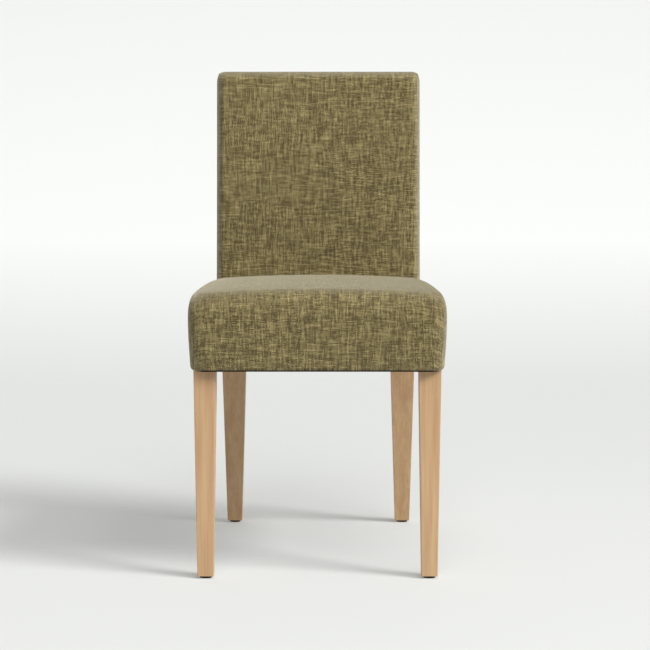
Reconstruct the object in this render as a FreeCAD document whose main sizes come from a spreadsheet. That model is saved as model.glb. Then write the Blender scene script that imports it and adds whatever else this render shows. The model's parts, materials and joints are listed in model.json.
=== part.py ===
import FreeCAD, Part
import math
import os

import Sketcher
from FreeCAD import Placement, Rotation, Vector

# Upholstered dining chair: a tenoned hardwood frame, woven webbing, foam, wadding and
# fitted fabric covers. X runs across the chair, the seat front faces -Y, +Z is up.
# The origin lies on the floor, under the middle of the overall width and depth.

os.makedirs("parts", exist_ok=True)
doc = FreeCAD.newDocument("parsons_chair")

# Driving sizes in millimetres, and degrees for the recline
SIZES = (
    ("overall_depth", 562, "seat front to the heel of the rear feet"),
    ("overall_height", 920, "floor to the top of the back cover"),
    ("seat_width", 464, "widest point of the seat cover"),
    ("seat_rear_width", 410, "seat cover where it meets the back"),
    ("seat_height", 524, "floor to the crown of the seat cover"),
    ("seat_underside", 376.5, "floor to the lowest edge of the seat cover"),
    ("seat_crown", 8, "rise of the seat top above its shoulder"),
    ("seat_crown_centre", 190, "seat front to the highest point of the seat"),
    ("seat_shoulder_height", 44, "height of the rounded shoulder"),
    ("seat_shoulder_side", 20, "depth of the shoulder at the sides"),
    ("seat_shoulder_front", 34, "depth of the shoulder at the front"),
    ("seat_side_draft", 5.2, "how far the sides lean in at the bottom"),
    ("seat_front_draft", 1.5, "how far the front leans in at the bottom"),
    ("seat_corner_radius", 22, "front corners of the seat in plan"),
    ("seat_shoulder_radius", 44, "the same corners at the top of the shoulder"),
    ("seat_hem_radius", 5, "rounding of the lower edge of the seat cover"),
    ("seat_wrap", 24, "how far the seat cover runs past the front of the back at the sides"),
    ("seat_rear_radius", 5, "rear corners of the seat cover in plan"),
    ("back_width", 402, "back cover, side to side"),
    ("back_recline", 7.9, "lean of the back from the vertical, degrees"),
    ("back_edge_radius", 20, "front edges of the back"),
    ("back_corner_radius", 12, "top corners of the back seen from the front"),
    ("cover_thickness", 1.0, "woven fabric"),
    ("wadding_thickness", 3.0, "polyester wadding"),
    ("soft_gap", 0.3, "clearance between soft layers"),
    ("cover_turn_under", 24, "width of the seat cover's turn under the rails"),
    ("leg_setback", 15, "seat front to the front face of the legs"),
    ("leg_side_inset", 12, "widest seat edge to the outer face of the legs"),
    ("leg_top", 40, "square section of a front leg at the rails"),
    ("leg_foot", 29, "square section of a front leg at the floor"),
    ("leg_taper_outer", 4.6, "taper of the front and outer faces of a leg"),
    ("wood_edge", 1.2, "eased edges of the legs"),
    ("post_setback", 452, "seat front to the front face of the posts"),
    ("post_side_inset", 7.5, "side of the back cover to the outer face of a post"),
    ("post_width", 50, "width of a post at the seat"),
    ("post_foot", 29.5, "square section of a post at the floor"),
    ("post_foot_inset", 6.8, "taper of the outer face of a post"),
    ("post_depth_knee", 33, "depth of a post at the knee"),
    ("post_depth_top", 23, "depth of a post at the top"),
    ("knee_rise", 48.5, "seat underside to the knee of the posts"),
    ("knee_radius", 260, "sawn curve behind the knee"),
    ("post_flat_above", 16, "flat of the post above the rail"),
    ("back_top_padding", 8, "top of the back cover to the top of the posts"),
    ("rail_height", 66, "seat rails"),
    ("rail_thickness", 22, "seat rails"),
    ("crest_height", 60, "rail at the top of the back"),
    ("crest_thickness", 20, "rails of the back"),
    ("lower_rail_height", 50, "rail at the bottom of the back"),
    ("lower_rail_lift", 26, "seat rails to the lower rail of the back"),
    ("block_height", 34, "corner blocks"),
    ("block_drop", 15, "top of the rails to the top of the corner blocks"),
    ("block_gap", 8, "notch around the front legs"),
    ("block_reach", 72, "length of a corner block along each rail"),
    ("block_tip", 9, "blunt tips of the corner blocks"),
    ("tenon_thickness", 8, "loose tenons"),
    ("tenon_length", 40, "loose tenons, half in each piece"),
    ("seat_tenon_width", 44, "loose tenons of the seat frame"),
    ("back_tenon_width", 32, "loose tenons of the back frame"),
    ("screw_diameter", 4.5, "corner block screws"),
    ("screw_length", 34, "corner block screws"),
    ("screw_head", 9, "head of a corner block screw"),
    ("screw_head_height", 2.5, "head of a corner block screw"),
    ("screw_grip", 16, "wood of the block under a screw head"),
    ("hole_clearance", 0.1, "around tenons, screws and nails"),
    ("webbing_width", 50, "elastic webbing"),
    ("webbing_thickness", 1.8, "elastic webbing"),
    ("webbing_gap", 0.1, "between two crossing strips"),
    ("webbing_end", 5, "end of a strip to the outer face of its rail"),
    ("lengthwise_pitch", 78, "strips from front rail to rear rail"),
    ("crosswise_pitch", 82, "strips from side rail to side rail"),
    ("felt_thickness", 2.5, "insulator between webbing and foam"),
    ("panel_thickness", 5, "plywood on the front of the posts"),
    ("back_foam_thickness", 15, "foam in front of the plywood"),
    ("board_thickness", 3, "card on the rear of the posts"),
    ("dust_cover_thickness", 0.5, "black cloth under the seat"),
    ("dust_cover_inset", 11, "hem of the seat to the edge of the dust cover"),
    ("glide_diameter", 22, "round glides under the feet"),
    ("glide_height", 4.5, "round glides under the feet"),
    ("nail_diameter", 2.6, "nail moulded into the top of a glide"),
    ("nail_length", 18, "nail moulded into the top of a glide"),
)

# Levels and positions that follow from the driving sizes
PLACES = (
    ("front_y", "-Sizes.overall_depth / 2"),
    ("rear_y", "Sizes.overall_depth / 2"),
    ("leg_front_y", "front_y + Sizes.leg_setback"),
    ("leg_back_y", "leg_front_y + Sizes.leg_top"),
    ("leg_outer_x", "Sizes.seat_width / 2 - Sizes.leg_side_inset"),
    ("leg_inner_x", "leg_outer_x - Sizes.leg_top"),
    ("post_front_y", "front_y + Sizes.post_setback"),
    ("post_outer_x", "Sizes.back_width / 2 - Sizes.post_side_inset"),
    ("post_inner_x", "post_outer_x - Sizes.post_width"),
    ("rail_bottom_z", "Sizes.seat_underside + Sizes.cover_thickness + Sizes.soft_gap"),
    ("rail_top_z", "rail_bottom_z + Sizes.rail_height"),
    ("rail_mid_z", "rail_bottom_z + Sizes.rail_height / 2"),
    ("foot_z", "Sizes.glide_height"),
    ("lean", "tan(Sizes.back_recline * 1 deg)"),
    ("bend_z", "rail_top_z + Sizes.post_flat_above"),
    ("knee_z", "Sizes.seat_underside + Sizes.knee_rise"),
    ("knee_y", "post_front_y + Sizes.post_depth_knee"),
    ("post_top_z", "Sizes.overall_height - Sizes.back_top_padding"),
    ("post_top_y", "post_front_y + (post_top_z - bend_z) * lean"),
    ("side_slope", "(leg_outer_x - post_outer_x) / (post_front_y - leg_back_y)"),
    ("front_rail_back_y", "leg_front_y + Sizes.rail_thickness"),
    ("rear_rail_back_y", "post_front_y + Sizes.rail_thickness"),
    ("block_top_z", "rail_top_z - Sizes.block_drop"),
    ("lower_rail_z", "rail_top_z + Sizes.lower_rail_lift"),
    ("back_padding", "Sizes.panel_thickness + Sizes.back_foam_thickness"
     " + Sizes.wadding_thickness + Sizes.cover_thickness + 4 * Sizes.soft_gap"),
    ("web_top_z", "rail_top_z + 2 * Sizes.webbing_thickness + Sizes.webbing_gap"),
    ("foam_bottom_z", "web_top_z + Sizes.felt_thickness + 2 * Sizes.soft_gap"),
)


def write_sheet(name, rows):
    """Spreadsheet with one named cell for each row."""
    sheet = doc.addObject("Spreadsheet::Sheet", name)
    for number, row in enumerate(rows, start=1):
        sheet.set(f"A{number}", row[0].replace("_", " "))
        value = row[1] if isinstance(row[1], (int, float)) else "=" + row[1]
        sheet.set(f"B{number}", str(value))
        sheet.setAlias(f"B{number}", row[0])
        if len(row) > 2:
            sheet.set(f"C{number}", row[2])
    return sheet


S = write_sheet("Sizes", SIZES)
P = write_sheet("Places", PLACES)
doc.recompute()


# Sketches and features

def plane_of(body, role):
    """Origin plane of a body, by its role."""
    for feature in body.Origin.OriginFeatures:
        if feature.Role == role:
            return feature
    raise ValueError(role)


def new_body(label):
    body = doc.addObject("PartDesign::Body", label)
    body.Label = label
    return body


def outline(body, plane, loops, offset=None):
    """Sketch of closed loops whose corners are pairs of expressions."""
    sketch = body.newObject("Sketcher::SketchObject", body.Name + "_outline")
    sketch.AttachmentSupport = [(plane_of(body, plane), "")]
    sketch.MapMode = "FlatFace"
    if offset:
        sketch.setExpression("AttachmentOffset.Base.z", offset)
    first = 0
    for corners in loops:
        count = len(corners)
        turn = 2 * math.pi / count
        ring = [Vector(100 * math.cos(turn * k), 100 * math.sin(turn * k), 0) for k in range(count)]
        for k in range(count):
            sketch.addGeometry(Part.LineSegment(ring[k], ring[(k + 1) % count]), False)
        for k in range(count):
            follower = first + (k + 1) % count
            sketch.addConstraint(Sketcher.Constraint("Coincident", first + k, 2, follower, 1))
        for k, corner in enumerate(corners):
            for kind, formula in zip(("DistanceX", "DistanceY"), corner):
                number = sketch.addConstraint(Sketcher.Constraint(kind, -1, 1, first + k, 1, 1.0))
                sketch.setExpression(f"Constraints[{number}]", formula)
        first += count
    return sketch


def pad(body, sketch, length, symmetric=False):
    feature = body.newObject("PartDesign::Pad", body.Name + "_pad")
    feature.Profile = sketch
    feature.setExpression("Length", length)
    feature.SideType = "Symmetric" if symmetric else "One side"
    sketch.Visibility = False
    return feature


def pocket_through(body, sketch):
    feature = body.newObject("PartDesign::Pocket", body.Name + "_taper")
    feature.Profile = sketch
    feature.Type = "ThroughAll"
    feature.SideType = "Symmetric"
    sketch.Visibility = False
    return feature


def edge_names(shape, wanted):
    """Names of the edges that a test picks by their two end points."""
    names = []
    for number, edge in enumerate(shape.Edges, start=1):
        ends = [edge.valueAt(edge.FirstParameter), edge.valueAt(edge.LastParameter)]
        if wanted(ends[0], ends[1]):
            names.append(f"Edge{number}")
    return names


def fillet(body, base, names, radius):
    feature = body.newObject("PartDesign::Fillet", body.Name + "_fillet")
    feature.Base = (base, names)
    feature.setExpression("Radius", radius)
    return feature


def ease_long_edges(body, base):
    """Round the long upright edges of a leg."""
    doc.recompute()
    names = edge_names(base.Shape, lambda a, b: abs(a.z - b.z) > 1.5 * S.rail_height)
    return fillet(body, base, names, "Sizes.wood_edge")


def mirrored(source, label):
    """The same piece on the other side of the chair."""
    twin = doc.addObject("Part::Mirroring", label)
    twin.Source = source
    twin.Normal = Vector(1, 0, 0)
    twin.Base = Vector(0, 0, 0)
    twin.Label = label
    return twin


def shaped(label, shape):
    """A piece whose shape is built from the sheet's values."""
    feature = doc.addObject("Part::Feature", label)
    feature.Label = label
    feature.Shape = shape
    return feature


def cut_from(label, base, *tools):
    """A blank with its holes drilled."""
    for number, tool in enumerate(tools):
        result = doc.addObject("Part::Cut", label if tool is tools[-1] else f"{label}_cut{number}")
        result.Base = base
        result.Tool = tool
        base = result
    base.Label = label
    return base


# Front legs: tapered on all four faces below the rails, square where the rails join them

def rectangle(x0, z0, x1, z1):
    return ((x0, z0), (x1, z0), (x1, z1), (x0, z1))


leg = new_body("front_leg_blank")
leg_foot_outer = "(Places.leg_outer_x - Sizes.leg_taper_outer)"
leg_view = (
    ("Places.leg_inner_x", "Places.rail_bottom_z"),
    ("Places.leg_outer_x", "Places.rail_bottom_z"),
    (leg_foot_outer, "Places.foot_z"),
    (leg_foot_outer + " - Sizes.leg_foot", "Places.foot_z"),
)
pad(leg, outline(leg, "XZ_Plane", [leg_view], "-Places.leg_back_y"), "Sizes.leg_top")
leg_foot_front = "(Places.leg_front_y + Sizes.leg_taper_outer)"
leg_wedges = (
    (
        ("Places.leg_front_y", "Places.rail_bottom_z"),
        (leg_foot_front, "Places.foot_z"),
        ("Places.leg_front_y", "Places.foot_z"),
    ),
    (
        ("Places.leg_back_y", "Places.rail_bottom_z"),
        ("Places.leg_back_y", "Places.foot_z"),
        (leg_foot_front + " + Sizes.leg_foot", "Places.foot_z"),
    ),
)
leg_taper = pocket_through(leg, outline(leg, "YZ_Plane", leg_wedges))
ease_long_edges(leg, leg_taper)
leg_plan = rectangle("Places.leg_inner_x", "Places.leg_front_y", "Places.leg_outer_x", "Places.leg_back_y")
pad(leg, outline(leg, "XY_Plane", [leg_plan], "Places.rail_bottom_z"), "Sizes.rail_height")


# Rear posts: one sawn piece each, a raked leg below the rails and a reclined upright above

post = new_body("rear_post_blank")
post_rake = "(Places.knee_y - Places.rear_y) / (Places.knee_z - Places.foot_z)"
post_rear_at_rail = f"(Places.rear_y + (Places.rail_bottom_z - Places.foot_z) * {post_rake})"
raked_leg = (
    ("Places.rear_y", "Places.foot_z"),
    (post_rear_at_rail, "Places.rail_bottom_z"),
    ("Places.post_front_y", "Places.rail_bottom_z"),
    ("Places.rear_y - Sizes.post_foot", "Places.foot_z"),
)
pad(post, outline(post, "YZ_Plane", [raked_leg], "Places.post_inner_x"), "Sizes.post_width")
post_foot_outer = "(Places.post_outer_x - Sizes.post_foot_inset)"
post_wedges = (
    (
        ("Places.post_inner_x", "Places.rail_bottom_z"),
        ("Places.post_inner_x", "Places.foot_z"),
        (post_foot_outer + " - Sizes.post_foot", "Places.foot_z"),
    ),
    (
        ("Places.post_outer_x", "Places.rail_bottom_z"),
        (post_foot_outer, "Places.foot_z"),
        ("Places.post_outer_x", "Places.foot_z"),
    ),
)
post_taper = pocket_through(post, outline(post, "XZ_Plane", post_wedges))
ease_long_edges(post, post_taper)
upright = (
    (post_rear_at_rail, "Places.rail_bottom_z"),
    ("Places.knee_y", "Places.knee_z"),
    ("Places.post_top_y + Sizes.post_depth_top", "Places.post_top_z"),
    ("Places.post_top_y", "Places.post_top_z"),
    ("Places.post_front_y", "Places.bend_z"),
    ("Places.post_front_y", "Places.rail_bottom_z"),
)
post_pad = pad(post, outline(post, "YZ_Plane", [upright], "Places.post_inner_x"), "Sizes.post_width")
doc.recompute()


def across_at(height):
    """Test for an edge that runs across the chair at one height."""
    return lambda a, b: abs(a.z - height) < 0.01 and abs(b.z - height) < 0.01 and abs(a.x - b.x) > 10


fillet(post, post_pad, edge_names(post_pad.Shape, across_at(P.knee_z)), "Sizes.knee_radius")


# Rails of the seat frame

def cross_rail(label, half_length, back_y):
    body = new_body(label + "_blank")
    view = rectangle("-" + half_length, "Places.rail_bottom_z", half_length, "Places.rail_top_z")
    pad(body, outline(body, "XZ_Plane", [view], "-" + back_y), "Sizes.rail_thickness")
    return body


front_rail = cross_rail("front_rail", "Places.leg_inner_x", "Places.front_rail_back_y")
rear_rail = cross_rail("rear_rail", "Places.post_inner_x", "Places.rear_rail_back_y")

side_rail = new_body("side_rail_blank")
side_plan = (
    ("Places.leg_outer_x", "Places.leg_back_y"),
    ("Places.post_outer_x", "Places.post_front_y"),
    ("Places.post_outer_x - Sizes.rail_thickness", "Places.post_front_y"),
    ("Places.leg_outer_x - Sizes.rail_thickness", "Places.leg_back_y"),
)
pad(side_rail, outline(side_rail, "XY_Plane", [side_plan], "Places.rail_bottom_z"), "Sizes.rail_height")


# Rails of the back frame, leaning with the posts

def back_rail(label, bottom, top):
    """Rail between the posts whose front lies in the line of their front faces."""
    body = new_body(label + "_blank")

    def line(height):
        return f"Places.post_front_y + ({height} - Places.bend_z) * Places.lean"

    side = (
        (line(bottom), bottom),
        (line(top), top),
        (line(top) + " + Sizes.crest_thickness", top),
        (line(bottom) + " + Sizes.crest_thickness", bottom),
    )
    pad(body, outline(body, "YZ_Plane", [side]), "2 * Places.post_inner_x", symmetric=True)
    return body


crest_rail = back_rail("crest_rail", "(Places.post_top_z - Sizes.crest_height)", "Places.post_top_z")
lower_back_rail = back_rail(
    "lower_back_rail", "Places.lower_rail_z", "(Places.lower_rail_z + Sizes.lower_rail_height)"
)


# Corner blocks, notched around the front legs and plain at the posts

def side_inner(y):
    """Inner face of a side rail at one depth."""
    return f"(Places.leg_outer_x - Sizes.rail_thickness - (({y}) - Places.leg_back_y) * Places.side_slope)"


def corner_block(label, plan):
    body = new_body(label + "_blank")
    base = outline(body, "XY_Plane", [plan], "Places.block_top_z - Sizes.block_height")
    pad(body, base, "Sizes.block_height")
    return body


notch_x = "(Places.leg_inner_x - Sizes.block_gap)"
notch_y = "(Places.leg_back_y + Sizes.block_gap)"
front_block_x = f"({notch_x} - Sizes.block_reach)"
front_block_y = f"({notch_y} + Sizes.block_reach)"
front_block = corner_block(
    "corner_block_front",
    (
        (front_block_x, "Places.front_rail_back_y"),
        (notch_x, "Places.front_rail_back_y"),
        (notch_x, notch_y),
        (side_inner(notch_y), notch_y),
        (side_inner(front_block_y), front_block_y),
        (side_inner(front_block_y) + " - Sizes.block_tip", front_block_y),
        (front_block_x, "Places.front_rail_back_y + Sizes.block_tip"),
    ),
)
rear_block_corner = "(Places.post_outer_x - Sizes.rail_thickness)"
rear_block_x = f"({rear_block_corner} - Sizes.block_reach)"
rear_block_y = "(Places.post_front_y - Sizes.block_reach)"
rear_block = corner_block(
    "corner_block_rear",
    (
        (rear_block_x, "Places.post_front_y"),
        (rear_block_x, "Places.post_front_y - Sizes.block_tip"),
        (side_inner(rear_block_y) + " - Sizes.block_tip", rear_block_y),
        (side_inner(rear_block_y), rear_block_y),
        (rear_block_corner, "Places.post_front_y"),
    ),
)


# Loose tenons, screws and nails, and the holes that take them

ACROSS = Vector(1, 0, 0)
ALONG = Vector(0, 1, 0)
UP = Vector(0, 0, 1)
SHANK_SIDES = 8


def rod(name, start, direction, radius, length):
    """Slim prism that begins at a point of three expressions and runs one way."""
    solid = doc.addObject("Part::Prism", name)
    solid.Polygon = SHANK_SIDES
    solid.Placement = Placement(Vector(0, 0, 0), Rotation(UP, direction))
    for axis, formula in zip("xyz", start):
        solid.setExpression(f"Placement.Base.{axis}", formula)
    solid.setExpression("Circumradius", radius)
    solid.setExpression("Height", length)
    return solid


def gather(label, solids):
    group = doc.addObject("Part::Compound", label)
    group.Links = solids
    group.Label = label
    return group


def centred_box(name, centre, sizes):
    """Box about a point, both given as expressions."""
    solid = doc.addObject("Part::Box", name)
    for key, axis, middle, size in zip(("Length", "Width", "Height"), "xyz", centre, sizes):
        solid.setExpression(key, size)
        solid.setExpression(f"Placement.Base.{axis}", f"{middle} - ({size}) / 2")
    return solid


def loose_tenon(name, centre, direction, width):
    """Flat tenon, half in each of the two pieces that it joins, and its mortise."""
    pair = []
    for spare in ("0", "2 * Sizes.hole_clearance"):
        sizes = [f"Sizes.tenon_thickness + {spare}", f"Sizes.tenon_length + {spare}", f"{width} + {spare}"]
        if direction == ACROSS:
            sizes[0], sizes[1] = sizes[1], sizes[0]
        pair.append(centred_box(name, centre, sizes))
    return pair


side_middle_front = "(Places.leg_outer_x - Sizes.rail_thickness / 2)"
side_middle_rear = "(Places.post_outer_x - Sizes.rail_thickness / 2)"
front_rail_middle = "(Places.leg_front_y + Sizes.rail_thickness / 2)"
rear_rail_middle = "(Places.post_front_y + Sizes.rail_thickness / 2)"
seat_joints = (
    ("Places.leg_inner_x", front_rail_middle, ACROSS),
    (side_middle_front, "Places.leg_back_y", ALONG),
    (side_middle_rear, "Places.post_front_y", ALONG),
    ("Places.post_inner_x", rear_rail_middle, ACROSS),
)
back_joints = (
    "(Places.post_top_z - Sizes.crest_height / 2)",
    "(Places.lower_rail_z + Sizes.lower_rail_height / 2)",
)
seat_tenons, back_tenons, mortises = [], [], []
for side in ("", "-"):
    for x, y, direction in seat_joints:
        centre = (side + x, y, "Places.rail_mid_z")
        tenon, mortise = loose_tenon("seat_tenon", centre, direction, "Sizes.seat_tenon_width")
        seat_tenons.append(tenon)
        mortises.append(mortise)
    for level in back_joints:
        front = f"Places.post_front_y + ({level} - Places.bend_z) * Places.lean"
        middle = f"({front} + Sizes.crest_thickness / 2)"
        centre = (side + "Places.post_inner_x", middle, level)
        tenon, mortise = loose_tenon("back_tenon", centre, ACROSS, "Sizes.back_tenon_width")
        back_tenons.append(tenon)
        mortises.append(mortise)
seat_frame_tenons = gather("seat_frame_tenons", seat_tenons)
back_frame_tenons = gather("back_frame_tenons", back_tenons)


def screw(start, direction):
    """Pan-head screw, head first, and the hole with its counterbore."""
    shank = rod("screw_shank", start, direction, "Sizes.screw_diameter / 2", "Sizes.screw_length")
    head = rod("screw_head", start, -direction, "Sizes.screw_head / 2", "Sizes.screw_head_height")
    whole = doc.addObject("Part::Fuse", "screw")
    whole.Base = shank
    whole.Tool = head
    bore_radius = "Sizes.screw_diameter / 2 + Sizes.hole_clearance"
    bore = rod("screw_hole", start, direction, bore_radius, "Sizes.screw_length + Sizes.hole_clearance")
    tunnel_radius = "Sizes.screw_head / 2 + Sizes.hole_clearance"
    tunnel = rod("screw_tunnel", start, -direction, tunnel_radius, "Sizes.block_reach")
    hole = doc.addObject("Part::Fuse", "screw_bore")
    hole.Base = bore
    hole.Tool = tunnel
    return whole, hole


SCREW_SHARE = 0.25
SCREW_LIFT = 0.8
block_mid_z = "(Places.block_top_z - Sizes.block_height / 2)"
upper_screw = f"({block_mid_z} + {SCREW_LIFT} * Sizes.screw_head)"
lower_screw = f"({block_mid_z} - {SCREW_LIFT} * Sizes.screw_head)"
screws, screw_bores = [], []
step = f"{SCREW_SHARE} * Sizes.block_reach"
front_y = f"({front_block_y} - {step})"
rear_y = f"({rear_block_y} + {step})"
for side, sign in (("", 1), ("-", -1)):
    spots = (
        (f"{front_block_x} + {step}", "Places.front_rail_back_y + Sizes.screw_grip", upper_screw, -ALONG),
        (f"{side_inner(front_y)} - Sizes.screw_grip", front_y, lower_screw, ACROSS * sign),
        (f"{rear_block_x} + {step}", "Places.post_front_y - Sizes.screw_grip", upper_screw, ALONG),
        (f"{side_inner(rear_y)} - Sizes.screw_grip", rear_y, lower_screw, ACROSS * sign),
    )
    for x, y, z, direction in spots:
        whole, hole = screw((f"{side}({x})", y, z), direction)
        screws.append(whole)
        screw_bores.append(hole)
corner_block_screws = gather("corner_block_screws", screws)


# Glides: a round foot on a nail that is driven into the end grain of each leg

leg_foot_x = f"({leg_foot_outer} - Sizes.leg_foot / 2)"
leg_foot_y = f"({leg_foot_front} + Sizes.leg_foot / 2)"
post_foot_x = f"({post_foot_outer} - Sizes.post_foot / 2)"
post_foot_y = "(Places.rear_y - Sizes.post_foot / 2)"
feet = {
    "front_right": (leg_foot_x, leg_foot_y),
    "front_left": ("-" + leg_foot_x, leg_foot_y),
    "rear_right": (post_foot_x, post_foot_y),
    "rear_left": ("-" + post_foot_x, post_foot_y),
}
glide_bevel = "Sizes.glide_height / 3"
glide_profile = (
    ("0", "0"),
    ("Sizes.glide_diameter / 2 - " + glide_bevel, "0"),
    ("Sizes.glide_diameter / 2", glide_bevel),
    ("Sizes.glide_diameter / 2", "Sizes.glide_height"),
    ("0", "Sizes.glide_height"),
)


def glide(corner, x, y):
    body = new_body("glide_" + corner)
    sketch = outline(body, "XZ_Plane", [glide_profile])
    turned = body.newObject("PartDesign::Revolution", body.Name + "_turned")
    turned.Profile = sketch
    turned.ReferenceAxis = (sketch, ["V_Axis"])
    turned.Angle = 360
    body.setExpression("Placement.Base.x", x)
    body.setExpression("Placement.Base.y", y)
    return body


glides, nails, nail_bores = [], [], []
for corner, (x, y) in feet.items():
    glides.append(glide(corner, x, y))
    start = (x, y, "Places.foot_z")
    nails.append(rod("nail", start, UP, "Sizes.nail_diameter / 2", "Sizes.nail_length"))
    bore_radius = "Sizes.nail_diameter / 2 + Sizes.hole_clearance"
    nail_bores.append(rod("nail_hole", start, UP, bore_radius, "Sizes.nail_length + Sizes.hole_clearance"))
glide_nails = gather("glide_nails", nails)
all_bores = gather("bores", mortises + screw_bores + nail_bores)


# The drilled frame, with the left-hand pieces mirrored from the right-hand ones

def both_sides(label, blank):
    right = cut_from(label + "_right", blank, all_bores)
    return [right, mirrored(right, label + "_left")]


frame = [
    *both_sides("front_leg", leg),
    *both_sides("rear_post", post),
    *both_sides("side_rail", side_rail),
    *both_sides("corner_block_front", front_block),
    *both_sides("corner_block_rear", rear_block),
    cut_from("front_rail", front_rail, all_bores),
    cut_from("rear_rail", rear_rail, all_bores),
    cut_from("crest_rail", crest_rail, all_bores),
    cut_from("lower_back_rail", lower_back_rail, all_bores),
]


# Webbing: strips that pass over and under each other, flat on the rails at their ends

def woven_strip(start, end, crossings, place):
    """One strip from start to end that rises over every second crossing strip."""
    raised = S.webbing_thickness + S.webbing_gap
    flat = S.webbing_width / 2 + 2 * S.webbing_thickness
    knots = [(start, 0)]
    for middle, over in crossings:
        level = raised if over else 0
        knots += [(middle - flat, level), (middle + flat, level)]
    knots.append((end, 0))
    lower = [place(run, P.rail_top_z + lift) for run, lift in knots]
    upper = [place(run, P.rail_top_z + lift + S.webbing_thickness) for run, lift in reversed(knots)]
    side = Part.Face(Part.makePolygon(lower + upper + lower[:1]))
    return side


def spread(count, pitch, middle):
    """Evenly pitched positions about a middle."""
    return [middle + (k - (count - 1) / 2) * pitch for k in range(count)]


def side_outer(y):
    """Outer face of a side rail at one depth."""
    return P.leg_outer_x - (y - P.leg_back_y) * P.side_slope


STRIPS = 4
half_strip = S.webbing_width / 2
strip_xs = spread(STRIPS, S.lengthwise_pitch, 0)
strip_ys = spread(STRIPS, S.crosswise_pitch, (P.front_rail_back_y + P.post_front_y) / 2)
lengthwise, crosswise = [], []
for i, x in enumerate(strip_xs):
    crossings = [(y, (i + j) % 2 == 0) for j, y in enumerate(strip_ys)]
    start = P.leg_front_y + S.webbing_end
    end = P.rear_rail_back_y - S.webbing_end
    side = woven_strip(start, end, crossings, lambda run, z: Vector(x - half_strip, run, z))
    lengthwise.append(side.extrude(Vector(S.webbing_width, 0, 0)))
for j, y in enumerate(strip_ys):
    crossings = [(x, (i + j) % 2 == 1) for i, x in enumerate(strip_xs)]
    end = side_outer(y + half_strip) - S.webbing_end
    side = woven_strip(-end, end, crossings, lambda run, z: Vector(run, y - half_strip, z))
    crosswise.append(side.extrude(Vector(0, S.webbing_width, 0)))
webbing = [
    shaped("seat_webbing_lengthwise", Part.makeCompound(lengthwise)),
    shaped("seat_webbing_crosswise", Part.makeCompound(crosswise)),
]

felt = new_body("webbing_felt")
felt_rear = "(Places.post_front_y - 2 * Sizes.soft_gap)"
felt_plan = (
    ("-Places.leg_outer_x + Sizes.webbing_end", "Places.leg_front_y + Sizes.webbing_end"),
    ("Places.leg_outer_x - Sizes.webbing_end", "Places.leg_front_y + Sizes.webbing_end"),
    ("Places.post_outer_x - Sizes.webbing_end", felt_rear),
    ("-Places.post_outer_x + Sizes.webbing_end", felt_rear),
)
felt_sketch = outline(felt, "XY_Plane", [felt_plan], "Places.web_top_z + Sizes.soft_gap")
pad(felt, felt_sketch, "Sizes.felt_thickness")


# Solids built from a pile of similar rings, whose bands are flat four-sided faces

def banded(rings):
    """Solid between the first and the last ring, which faces outwards."""
    first, last = rings[0], rings[-1]
    floor = Part.Face(Part.makePolygon(first[::-1] + first[-1:]))
    ceiling = Part.Face(Part.makePolygon(last + last[:1]))
    faces = [floor, ceiling]
    for low, high in zip(rings, rings[1:]):
        for k in range(len(low)):
            n = (k + 1) % len(low)
            faces.append(Part.Face(Part.makePolygon([low[k], low[n], high[n], high[k], low[k]])))
    return Part.Solid(Part.Shell(faces))


def block(x0, y0, z0, x1, y1, z1):
    """Plain box between two opposite corners."""
    return Part.makeBox(x1 - x0, y1 - y0, z1 - z0, Vector(x0, y0, z0))


# The form of the back: a leaning slab with rounded front edges, bent behind at the knee

LEAN = math.radians(S.back_recline)
REAR_PADDING = S.board_thickness + S.cover_thickness + 2 * S.soft_gap
BACK_REACH = 200
BACK_CORNER_FACETS = 6
BACK_EDGE_STEPS = (90, 72, 54, 36, 18, 0)


def back_front(z, depth=0.0):
    """Front plane of the back, at a depth behind the face of its cover."""
    line = P.post_front_y + (z - P.bend_z) * math.tan(LEAN)
    return line - (P.back_padding - depth) / math.cos(LEAN)


def post_rear(z):
    """Rear face of the posts, straight above and below the knee."""
    if z < P.knee_z:
        share = (z - P.foot_z) / (P.knee_z - P.foot_z)
        return P.rear_y + share * (P.knee_y - P.rear_y)
    share = (z - P.knee_z) / (P.post_top_z - P.knee_z)
    return P.knee_y + share * (P.post_top_y + S.post_depth_top - P.knee_y)


def back_ring(inset, tuck, depth, bottom):
    """Outline of the back in a plane that leans with it, tucked in from its sides and top."""
    half = S.back_width / 2 - inset - tuck
    roof = S.overall_height - inset - tuck
    radius = (S.back_corner_radius - inset) * (1 - tuck / (2 * S.back_edge_radius))
    right = [(half, bottom)]
    for k in range(BACK_CORNER_FACETS + 1):
        angle = math.pi / 2 * k / BACK_CORNER_FACETS
        right.append((half - radius * (1 - math.cos(angle)), roof - radius * (1 - math.sin(angle))))
    left = [(-x, z) for x, z in reversed(right)]
    return [Vector(x, back_front(z, inset + depth), z) for x, z in right + left]


def back_form(inset, bottom):
    """Slab inset from the cover of the back, endless towards the rear."""
    edge = S.back_edge_radius - inset
    rings = [back_ring(inset, 0, BACK_REACH, bottom)]
    for angle in BACK_EDGE_STEPS:
        turn = math.radians(angle)
        rings.append(back_ring(inset, edge * (1 - math.sin(turn)), edge * (1 - math.cos(turn)), bottom))
    return banded(rings)


def side_profile(points):
    """Very wide prism from a closed outline seen from the side."""
    ring = [Vector(-S.seat_width, y, z) for y, z in points]
    return Part.Face(Part.makePolygon(ring + ring[:1])).extrude(Vector(2 * S.seat_width, 0, 0))


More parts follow.
